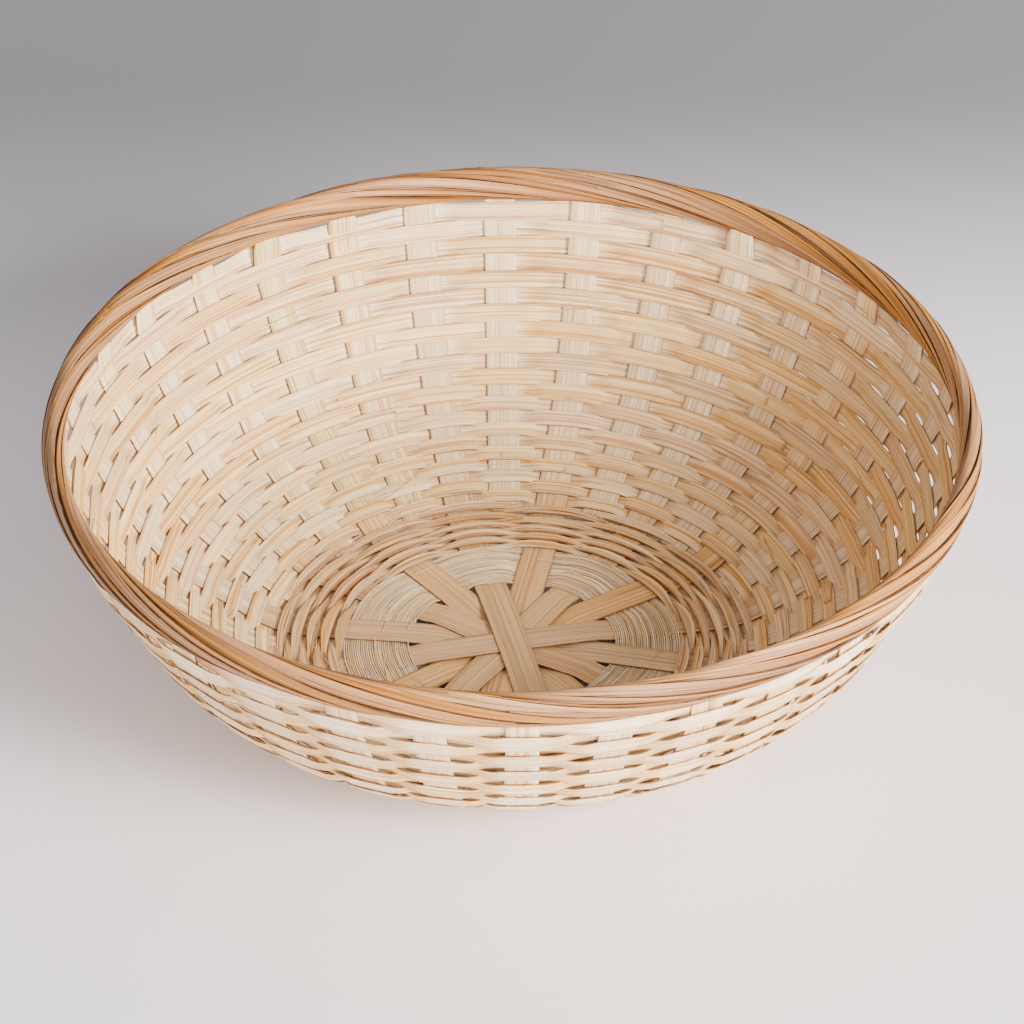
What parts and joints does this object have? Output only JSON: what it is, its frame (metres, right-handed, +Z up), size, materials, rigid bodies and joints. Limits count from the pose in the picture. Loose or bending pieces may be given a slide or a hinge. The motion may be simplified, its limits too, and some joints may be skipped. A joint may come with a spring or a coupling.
{
  "type": "woven bamboo basket",
  "caption": "Shallow round basket woven from split bamboo, with a star of crossed strips in the base, openwork wall rounds and a twisted strip rim.",
  "frame": {"origin": "centre of the base, on the plane the basket stands on", "axes": "+Z up, out of the open top; +Y points to the side that is furthest from the viewer, +X to the viewer's right"},
  "size_m": [0.25, 0.25, 0.0773],
  "materials": {
    "base_strip": "natural split bamboo, satin, fibre lines along the strip",
    "olive_strip": "bamboo with its greenish skin left on, satin",
    "side_stake": "natural split bamboo, satin",
    "fine_weave": "thin shaved bamboo threads, matt",
    "base_round": "natural split bamboo, satin",
    "wall_round": "pale split bamboo, satin",
    "rim_strand": "warm orange-tan split bamboo, satin"
  },
  "bodies": {
    "root": {"upper_base_strip_1": "base_strip", "upper_base_strip_2": "base_strip", "upper_base_strip_3": "base_strip", "upper_base_strip_4": "base_strip", "lower_base_strip_1": "base_strip", "lower_base_strip_2": "base_strip", "lower_base_strip_3": "base_strip", "lower_base_strip_4": "olive_strip", "side_stake_01": "side_stake", "side_stake_02": "side_stake", "side_stake_03": "side_stake", "side_stake_04": "side_stake", "side_stake_05": "side_stake", "side_stake_06": "side_stake", "side_stake_07": "side_stake", "side_stake_08": "side_stake", "side_stake_09": "side_stake", "side_stake_10": "side_stake", "side_stake_11": "side_stake", "side_stake_12": "side_stake", "side_stake_13": "side_stake", "side_stake_14": "side_stake", "side_stake_15": "side_stake", "side_stake_16": "side_stake", "fine_base_weave": "fine_weave", "base_round_01": "base_round", "base_round_02": "base_round", "base_round_03": "base_round", "base_round_04": "base_round", "base_round_05": "base_round", "base_round_06": "base_round", "base_round_07": "base_round", "base_round_08": "base_round", "base_round_09": "base_round", "base_round_10": "base_round", "wall_round_01": "wall_round", "wall_round_02": "wall_round", "wall_round_03": "wall_round", "wall_round_04": "wall_round", "wall_round_05": "wall_round", "wall_round_06": "wall_round", "wall_round_07": "wall_round", "wall_round_08": "wall_round", "wall_round_09": "wall_round", "wall_round_10": "wall_round", "wall_round_11": "wall_round", "wall_round_12": "wall_round", "wall_round_13": "wall_round", "wall_round_14": "wall_round", "wall_round_15": "wall_round", "wall_round_16": "wall_round", "wall_round_17": "wall_round", "wall_round_18": "wall_round", "wall_round_19": "wall_round", "wall_round_20": "wall_round", "wall_round_21": "wall_round", "rim_strand_1": "rim_strand", "rim_strand_2": "rim_strand", "rim_strand_3": "rim_strand", "rim_strand_4": "rim_strand"}
  },
  "joints": []
}
